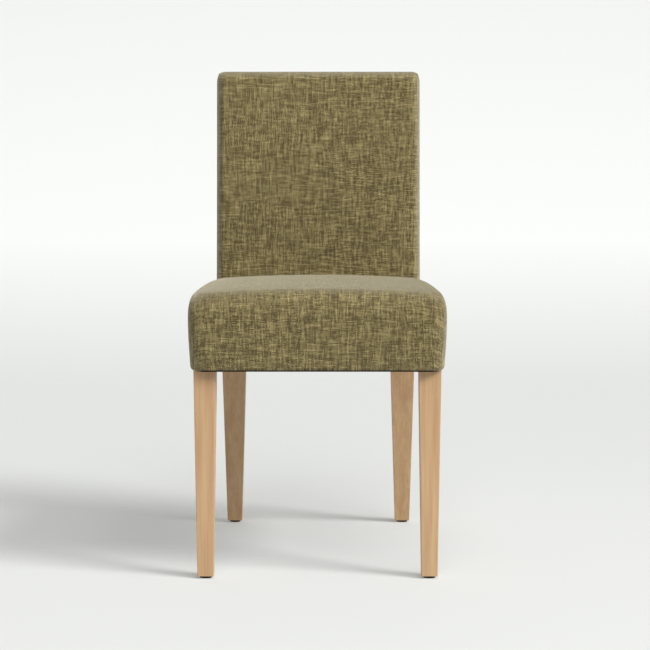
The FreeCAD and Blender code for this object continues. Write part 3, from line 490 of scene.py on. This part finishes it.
def seat_place(a, b, c):
    """Place on the seat of a point of the divided cube."""
    s = sizes()
    edge = max(abs(a), abs(b), 1e-9)
    step = (c + 1) / 2
    side, front, radius, level = seat_section(step)
    half = SEAT_HIGH.x - s.seat_side_ease - side
    near, far = SEAT_LOW.y + front, SEAT_HIGH.y
    x, y = rounded_square(a / edge, b / edge, half, near, far, radius, s.hem)
    if abs(c) > ON_FACE:
        middle = SEAT_LOW.y + s.crown_centre
        x, y = x * edge, middle + (y - middle) * edge
    corner_y = SEAT_LOW.y + s.seat_corner
    taper = (SEAT_HIGH.x - s.seat_rear_width / 2) / (back_front_y(s.seat_top) - corner_y)
    x *= 1 - taper * max(0.0, y - corner_y) / SEAT_HIGH.x
    share = max(0.0, min(1.0, (level - SEAT_LOW.z) / (s.seat_top - RIM_DROP - SEAT_LOW.z)))
    return x, y, level + (RIM_DROP - crown_fall(x, y)) * share ** 2


def back_front_y(level):
    """Front plane of the back at one height, from the box of its cover."""
    return BACK_LOW.y + (level - BACK_LOW.z) * math.tan(LEAN)


def cloth_coordinates(piece, place):
    """UV map in metres that lays the cloth flat; place maps an array of points and normals to it."""
    mesh = piece.data
    for old in list(mesh.uv_layers):
        mesh.uv_layers.remove(old)
    layer = mesh.uv_layers.new(name="cloth")
    points = vertex_array(mesh)
    loops = numpy.empty(len(mesh.loops), dtype=numpy.int32)
    mesh.loops.foreach_get("vertex_index", loops)
    normals = numpy.empty(len(mesh.polygons) * 3)
    mesh.polygons.foreach_get("normal", normals)
    totals = numpy.empty(len(mesh.polygons), dtype=numpy.int32)
    mesh.polygons.foreach_get("loop_total", totals)
    facing = numpy.repeat(normals.reshape(-1, 3), totals, axis=0)
    flat = place(points[loops], facing)
    layer.data.foreach_set("uv", flat.astype(numpy.float32).ravel())


def lay_over_seat(points, facing):
    """Cloth over the top and down the front and sides, with seams at the front corners."""
    fold = sizes().seat_top - FOLD_DROP
    drop = numpy.minimum(points[:, 2] - fold, 0)
    sideways = (abs(facing[:, 0]) > abs(facing[:, 1])) & (abs(facing[:, 2]) < 0.8)
    u = points[:, 0] - numpy.where(sideways, numpy.sign(points[:, 0]) * drop, 0)
    v = points[:, 1] + numpy.where(sideways, 0, drop)
    return numpy.stack([u, v], axis=1)


def lay_over_back(points, facing):
    """Cloth over the front of the back and round its sides and top, with seams at the top corners."""
    behind = numpy.maximum(points[:, 1] - back_front_y(points[:, 2]) - WRAP_DEPTH, 0)
    upwards = facing[:, 2] > abs(facing[:, 0])
    u = points[:, 0] + numpy.where(upwards, 0, numpy.sign(points[:, 0]) * behind)
    v = points[:, 2] + numpy.where(upwards, behind, 0)
    return numpy.stack([u, v], axis=1)


def apply_modifiers(piece):
    """Apply all of a piece's modifiers in order."""
    bpy.context.view_layer.objects.active = piece
    for modifier in list(piece.modifiers):
        bpy.ops.object.modifier_apply(modifier=modifier.name)


def swell_with_pressure(piece, is_free):
    """Let the padding press on the cloth; only points that is_free picks may move, and not far."""
    reach = sizes().swell
    mesh = piece.data
    start = vertex_array(mesh)
    held = piece.vertex_groups.new(name="held")
    held.add([int(k) for k in numpy.flatnonzero(~is_free(start))], 1.0, "REPLACE")
    cloth = piece.modifiers.new("pressure", "CLOTH")
    cloth.settings.vertex_group_mass = "held"
    cloth.settings.use_pressure = True
    cloth.settings.uniform_pressure_force = PRESSURE
    cloth.settings.effector_weights.gravity = 0
    cloth.point_cache.frame_start, cloth.point_cache.frame_end = 1, LAST_FRAME
    for number in range(1, LAST_FRAME + 1):
        bpy.context.scene.frame_set(number)
    apply_modifiers(piece)
    bpy.context.scene.frame_set(1)
    moved = vertex_array(mesh) - start
    far = numpy.linalg.norm(moved, axis=1, keepdims=True)
    set_vertices(mesh, start + moved * numpy.minimum(1, reach / numpy.maximum(far, 1e-9)))
    piece.vertex_groups.clear()


def cut_by(piece, other):
    """Take the space of another piece out of this one."""
    cut = piece.modifiers.new("cut", "BOOLEAN")
    cut.operation = "DIFFERENCE"
    cut.solver = "EXACT"
    cut.object = other
    apply_modifiers(piece)


def smooth_once(piece):
    """One subdivision and smooth shading."""
    deselect_all()
    piece.select_set(True)
    finer = piece.modifiers.new("finer", "SUBSURF")
    finer.levels = finer.render_levels = 1
    apply_modifiers(piece)
    bpy.ops.object.shade_smooth()


class CHAIR_OT_seat(bpy.types.Operator):
    """Seat padding under its fabric cover"""

    bl_idname = "chair.seat"
    bl_label = "Seat"

    def execute(self, context):
        piece = divided_cube()
        points = vertex_array(piece.data)
        set_vertices(piece.data, numpy.array([seat_place(*p) for p in points]))
        level, end = SEAT_LOW.z + HELD_HEM, SEAT_HIGH.y - HELD_REAR
        swell_with_pressure(piece, lambda p: (p[:, 2] > level) & (p[:, 1] < end))
        smooth_once(piece)
        cut_by(piece, bpy.data.objects["back_upholstery"])
        cloth_coordinates(piece, lay_over_seat)
        seated("seat_upholstery", FABRIC, "seat_cover", "seat_wadding", "seat_foam")
        return {"FINISHED"}


# Back

# Recline of the front of the back
LEAN = math.radians(7.9)
# The posts bend here, with this radius, between the upright and the raked leg
KNEE_Z, KNEE_Y, KNEE_RADIUS = 425 * MM, 208.6 * MM, 260 * MM
# Rear face of the legs carried down to the floor
HEEL_Y = 285.6 * MM
# Share of the cube's depth that becomes the eased front edge; above 1, the edge is flatter than a circle
EASE_SHARE, EASE_POWER = 0.5, 1.3
# Behind the front face by this much, the cloth is laid round the sides
WRAP_DEPTH = 10 * MM
BOTTOM_CORNER = 1 * MM
# The outside panel starts below the padding's rear face and rises out of its seam to lie flat
PANEL_SINK, PANEL_RISE, PANEL_EASE = 0.4 * MM, 2.2 * MM, 4 * MM
PANEL_CLOTH = 1 * MM


def back_rear_y(level):
    """Rear face of the back at one height, bent at the knee of the posts."""
    upper = (BACK_HIGH.y - KNEE_Y) / (BACK_HIGH.z - KNEE_Z)
    lower = (KNEE_Y - HEEL_Y) / KNEE_Z
    reach = KNEE_RADIUS * math.tan((math.atan(upper) - math.atan(lower)) / 2)
    above = level - KNEE_Z
    if abs(above) < reach:
        return KNEE_Y + (upper + lower) / 2 * above + (upper - lower) / 4 * (reach + above * above / reach)
    return KNEE_Y + above * (upper if above > 0 else lower)


def back_place(a, b, c):
    """Place on the back of a point of the divided cube: a across, c up, b from front to rear."""
    s = sizes()
    step = (b + 1) / 2
    half, low, high = BACK_HIGH.x + s.back_fill, BACK_LOW.z, BACK_HIGH.z
    depth, tuck = s.back_edge, 0.0
    if step < EASE_SHARE:
        turn = math.pi / 2 * step / EASE_SHARE
        depth = s.back_edge * (1 - math.cos(turn) ** EASE_POWER)
        tuck = s.back_tuck * (1 - math.sin(turn) ** EASE_POWER)
    rim = max(abs(a), abs(c), 1e-9)
    radius = s.back_corner * (1 - tuck / (2 * s.back_tuck))
    x, z = rounded_square(a / rim, -c / rim, half - tuck, -(high - tuck), -low, radius, BOTTOM_CORNER)
    z = -z
    if abs(b) > ON_FACE:
        middle = (low + high) / 2
        x, z = x * rim, middle + (z - middle) * rim
    y = back_front_y(z) + depth / math.cos(LEAN)
    if step > EASE_SHARE:
        y += (back_rear_y(z) - y) * (step - EASE_SHARE) / (1 - EASE_SHARE)
    return x, y, z


class CHAIR_OT_back(bpy.types.Operator):
    """Back padding under its fabric cover"""

    bl_idname = "chair.back"
    bl_label = "Back"

    def execute(self, context):
        piece = divided_cube()
        points = vertex_array(piece.data)
        set_vertices(piece.data, numpy.array([back_place(*p) for p in points]))
        rear = numpy.vectorize(back_rear_y)
        swell_with_pressure(piece, lambda p: p[:, 1] < rear(p[:, 2]) - HELD_REAR)
        smooth_once(piece)
        cloth_coordinates(piece, lay_over_back)
        seated("back_upholstery", FABRIC, "back_cover", "back_wadding", "back_foam")
        return {"FINISHED"}


class CHAIR_OT_outside_back(bpy.types.Operator):
    """Fabric panel over the rear of the back, tacked in behind its rounded border"""

    bl_idname = "chair.outside_back"
    bl_label = "Outside back"

    def execute(self, context):
        s = sizes()
        deselect_all()
        bpy.ops.mesh.primitive_grid_add(x_subdivisions=48, y_subdivisions=72, size=2)
        piece = context.active_object
        half = BACK_HIGH.x + s.back_fill - s.panel_border
        low, high = BACK_LOW.z + s.panel_border, BACK_HIGH.z - s.panel_border
        places = []
        for a, b, _ in vertex_array(piece.data):
            x = half * a
            z = (low + high) / 2 + (high - low) / 2 * b
            gap = min(half - abs(x), z - low, high - z)
            rise = PANEL_RISE * (1 - math.exp(-gap / PANEL_EASE))
            places.append((x, back_rear_y(z) - PANEL_SINK + rise, z))
        set_vertices(piece.data, numpy.array(places))
        bpy.ops.object.mode_set(mode="EDIT")
        bpy.ops.mesh.select_all(action="SELECT")
        bpy.ops.mesh.normals_make_consistent(inside=False)
        bpy.ops.object.mode_set(mode="OBJECT")
        if piece.data.polygons[0].normal.y < 0:
            piece.data.flip_normals()
        wall = piece.modifiers.new("cloth", "SOLIDIFY")
        wall.thickness = PANEL_CLOTH
        wall.offset = -1
        smooth_once(piece)
        cloth_coordinates(piece, lambda p, n: numpy.stack([p[:, 0], p[:, 2]], axis=1))
        seated("outside_back_fabric", FABRIC, "outside_back_cover")
        return {"FINISHED"}


# Glides

SOLE_RIM, SOLE_STEP, SOLE_DEPTH = 2.4 * MM, 0.8 * MM, 0.5 * MM
GLIDE_EASE = 0.9 * MM


class CHAIR_OT_glides(bpy.types.Operator):
    """Moulded glides under the four feet"""

    bl_idname = "chair.glides"
    bl_label = "Glides"

    def execute(self, context):
        for node in ("glide_front_right", "glide_front_left", "glide_rear_right", "glide_rear_left"):
            low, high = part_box(node)
            deselect_all()
            bpy.ops.mesh.primitive_cylinder_add(
                vertices=48, radius=(high.x - low.x) / 2, depth=high.z - low.z, location=(low + high) / 2
            )
            piece = context.active_object
            bpy.ops.object.transform_apply(location=True, rotation=False, scale=False)
            self.shape(piece, low, high)
            seated(node.replace("glide", "foot_glide"), "glide_plastic", node)
        return {"FINISHED"}

    def shape(self, piece, low, high):
        """Sole with a sunk middle, and eased upper and lower edges."""
        pick(piece, "FACE", lambda face: face.normal.z < -0.9)
        bpy.ops.mesh.inset(thickness=SOLE_RIM)
        bpy.ops.mesh.inset(thickness=SOLE_STEP, depth=-SOLE_DEPTH)
        middle = (low + high) / 2
        radius = (high.x - low.x) / 2

        def on_outer_edge(edge):
            """Level edges on the outside of the glide."""
            ends = [piece.data.vertices[k].co for k in edge.vertices]
            far = all(math.hypot(p.x - middle.x, p.y - middle.y) > 0.98 * radius for p in ends)
            return far and abs(ends[0].z - ends[1].z) < 0.1 * MM

        pick(piece, "EDGE", on_outer_edge)
        bpy.ops.mesh.bevel(offset=GLIDE_EASE, segments=4, affect="EDGES")
        bpy.ops.object.mode_set(mode="OBJECT")
        bpy.ops.object.shade_smooth_by_angle(angle=math.radians(35))


# Underside

# The turned-in edge ends in a shallow step
HEM_STEP, HEM_DEPTH = 0.4 * MM, 0.25 * MM
STAPLE_SIZE, STAPLE_EASE = (10 * MM, 1.2 * MM, 0.6 * MM), 0.25 * MM
# The middle of a staple lies this far below the cloth, so it stands 0.5 mm proud
STAPLE_DROP = 0.2 * MM
# Side of the back to the ends of the rear row, and rear post to the edge of the cloth
REAR_ROW_INSET, REAR_EDGE_INSET = 57.5 * MM, 5.5 * MM
# Ends of the rows along the sides, clear of the legs
SIDE_ROW = (-200 * MM, 150 * MM)


class CHAIR_OT_under_cloth(bpy.types.Operator):
    """Black cloth under the seat with its hem folded in"""

    bl_idname = "chair.under_cloth"
    bl_label = "Cloth under the seat"

    def execute(self, context):
        deselect_all()
        piece = frame["nodes"]["dust_cover"].copy()
        piece.data = piece.data.copy()
        context.scene.collection.objects.link(piece)
        piece.hide_set(False)
        piece.hide_render = False
        context.view_layer.objects.active = piece
        piece.select_set(True)
        bpy.ops.object.mode_set(mode="EDIT")
        bpy.ops.mesh.select_mode(type="FACE")
        bpy.ops.mesh.select_all(action="SELECT")
        bpy.ops.mesh.remove_doubles(threshold=0.01 * MM)
        bpy.ops.mesh.dissolve_limited(angle_limit=math.radians(1))
        pick(piece, "FACE", lambda face: face.normal.z < -0.9)
        bpy.ops.mesh.inset(thickness=sizes().hem_fold, depth=0)
        bpy.ops.mesh.inset(thickness=HEM_STEP, depth=-HEM_DEPTH)
        bpy.ops.object.mode_set(mode="OBJECT")
        seated("under_cloth", "dust_cloth", "dust_cover")
        return {"FINISHED"}


class CHAIR_OT_staples(bpy.types.Operator):
    """Staples through the hem of the cloth under the seat"""

    bl_idname = "chair.staples"
    bl_label = "Staples"

    def execute(self, context):
        deselect_all()
        bpy.ops.mesh.primitive_cube_add(size=1, location=(0, 0, 0), scale=STAPLE_SIZE)
        first = context.active_object
        bpy.ops.object.transform_apply(location=True, rotation=False, scale=True)
        bpy.ops.object.mode_set(mode="EDIT")
        bpy.ops.mesh.select_all(action="SELECT")
        bpy.ops.mesh.bevel(offset=STAPLE_EASE, segments=2, affect="EDGES")
        bpy.ops.object.mode_set(mode="OBJECT")
        for place, turn in self.places():
            copy = first.copy()
            copy.data = first.data.copy()
            context.scene.collection.objects.link(copy)
            copy.location = place
            copy.rotation_euler = (0, 0, turn)
            copy.select_set(True)
        bpy.data.objects.remove(first)
        context.view_layer.objects.active = context.selected_objects[0]
        bpy.ops.object.join()
        seated("dust_cover_staples", "zinc_steel")
        return {"FINISHED"}

    def places(self):
        """Places along the four hems, clear of the legs, with each staple's turn."""
        s = sizes()
        low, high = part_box("dust_cover")
        inset = s.hem_fold / 2
        level = low.z - STAPLE_DROP
        front, rear = low.y + inset, high.y - inset
        front_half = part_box("front_leg_right")[0].x
        rear_half = BACK_HIGH.x - REAR_ROW_INSET
        rear_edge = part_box("rear_post_right")[1].x - REAR_EDGE_INSET

        def side_x(y):
            """Middle of the side hem, which draws in towards the rear."""
            return high.x + (rear_edge - high.x) * (y - low.y) / (high.y - low.y) - inset

        rows = [((-front_half, front), (front_half, front)), ((-rear_half, rear), (rear_half, rear))]
        rows += [tuple((side * side_x(y), y) for y in SIDE_ROW) for side in (-1, 1)]
        found = []
        for start, end in rows:
            start, end = Vector((*start, level)), Vector((*end, level))
            run = end - start
            count = max(1, round(run.length / s.staple_gap))
            for k in range(count):
                found.append((start + run * ((k + 0.5) / count), math.atan2(run.y, run.x)))
        return found


# Frame finishes

class CHAIR_OT_frame(bpy.types.Operator):
    """Finishes of the wooden frame and of all that lies inside the padding"""

    bl_idname = "chair.frame"
    bl_label = "Frame finishes"

    def execute(self, context):
        for row in frame["record"]["subparts"]:
            if row["material_slot"] == FABRIC:
                continue
            mesh = frame["nodes"][row["node"]].data
            mesh.materials.clear()
            mesh.materials.append(material_of(row["material_slot"]))
        return {"FINISHED"}


# Stage

# Camera fitted to the photograph: its place, its tilt below level, and its focal length in
# pixels for an image 650 pixels wide
CAMERA_X, CAMERA_DISTANCE, CAMERA_HEIGHT = 0.0134, 3.383, 0.783
CAMERA_TILT = math.radians(5.47)
FOCAL_PIXELS, IMAGE_WIDTH, SENSOR = 1931, 650, 36
# Floor and wall in metres, joined by a wide bend
FLOOR_WIDTH, FLOOR_DEPTH, FLOOR_MIDDLE = 14, 12, -1.5
WALL_HEIGHT, WALL_BEND = 6, 2.0


class CHAIR_OT_stage(bpy.types.Operator):
    """Camera, lamps, floor and backdrop"""

    bl_idname = "chair.stage"
    bl_label = "Stage"

    def execute(self, context):
        camera_data = bpy.data.cameras.new("camera")
        camera = bpy.data.objects.new("camera", camera_data)
        context.scene.collection.objects.link(camera)
        camera.location = (CAMERA_X, SEAT_LOW.y - CAMERA_DISTANCE, CAMERA_HEIGHT)
        camera.rotation_euler = (math.pi / 2 - CAMERA_TILT, 0, 0)
        camera_data.sensor_width = SENSOR
        camera_data.lens = FOCAL_PIXELS / IMAGE_WIDTH * SENSOR
        context.scene.camera = camera

        deselect_all()
        bpy.ops.mesh.primitive_plane_add(size=1, location=(0, 0, 0))
        floor = context.active_object
        floor.name = "studio_floor"
        floor.scale = (FLOOR_WIDTH, FLOOR_DEPTH, 1)
        floor.location = (0, FLOOR_MIDDLE, 0)
        bpy.ops.object.transform_apply(location=True, rotation=False, scale=True)

        def at_rear(edge):
            """Edge where the floor meets the wall."""
            ends = [floor.data.vertices[k].co for k in edge.vertices]
            return all(p.y > FLOOR_MIDDLE + FLOOR_DEPTH / 2 - 0.1 and p.z < 0.1 for p in ends)

        pick(floor, "EDGE", at_rear)
        bpy.ops.mesh.extrude_region_move(TRANSFORM_OT_translate={"value": (0, 0, WALL_HEIGHT)})
        pick(floor, "EDGE", at_rear)
        bpy.ops.mesh.bevel(offset=WALL_BEND, segments=24, affect="EDGES")
        bpy.ops.object.mode_set(mode="OBJECT")
        bpy.ops.object.shade_smooth()
        floor.data.materials.append(studio_surface())

        self.lamp("key", "SUN", (0.69, -0.35, 0.64), 10.0, math.radians(21), 2.65)
        self.lamp("top", "AREA", (0.25, -0.75, 1.0), 4.0, 3.0, 96)
        world = bpy.data.worlds.new("studio")
        context.scene.world = world
        world.use_nodes = True
        tree = world.node_tree
        tree.nodes.clear()
        light = add_node(tree, "Background", {0: (1, 1, 1, 1), 1: 0.17})
        add_node(tree, "OutputWorld", {0: light.outputs[0]})
        context.scene.view_settings.view_transform = "Standard"
        return {"FINISHED"}

    def lamp(self, name, kind, direction, distance, spread, power):
        """Soft lamp that looks at the middle of the chair; spread is its angle or its width."""
        aim = Vector((0, 0, 0.45))
        towards = Vector(direction).normalized()
        data = bpy.data.lights.new(name, kind)
        data.energy = power
        if kind == "SUN":
            data.angle = spread
        else:
            data.size = spread
        lamp = bpy.data.objects.new(name, data)
        bpy.context.scene.collection.objects.link(lamp)
        lamp.location = aim + towards * distance
        lamp.rotation_euler = towards.to_track_quat("Z", "Y").to_euler()


class CHAIR_PT_pieces(bpy.types.Panel):
    """Pieces of the chair and its stage"""

    bl_label = "Parsons chair"
    bl_space_type = "VIEW_3D"
    bl_region_type = "UI"
    bl_category = "Chair"

    def draw(self, context):
        for group in (context.scene.chair_sizes, context.scene.chair_colours):
            for key in group.__annotations__:
                self.layout.prop(group, key)
        for operator in OPERATORS:
            self.layout.operator(operator.bl_idname)


OPERATORS = (
    CHAIR_OT_stage,
    CHAIR_OT_frame,
    CHAIR_OT_back,
    CHAIR_OT_outside_back,
    CHAIR_OT_seat,
    CHAIR_OT_under_cloth,
    CHAIR_OT_staples,
    CHAIR_OT_glides,
)
CLASSES = (ChairSizes, ChairColours, *OPERATORS, CHAIR_PT_pieces)


def register():
    """Add the classes, and the sizes and colours to every scene."""
    for item in CLASSES:
        bpy.utils.register_class(item)
    bpy.types.Scene.chair_sizes = bpy.props.PointerProperty(type=ChairSizes)
    bpy.types.Scene.chair_colours = bpy.props.PointerProperty(type=ChairColours)


def unregister():
    """Take away what register added."""
    del bpy.types.Scene.chair_colours
    del bpy.types.Scene.chair_sizes
    for item in reversed(CLASSES):
        bpy.utils.unregister_class(item)


def main():
    """Make the chair and its stage."""
    register()
    bpy.ops.chair.stage()
    bpy.ops.chair.frame()
    bpy.ops.chair.back()
    bpy.ops.chair.outside_back()
    bpy.ops.chair.seat()
    bpy.ops.chair.under_cloth()
    bpy.ops.chair.staples()
    bpy.ops.chair.glides()


if __name__ == "__main__":
    main()
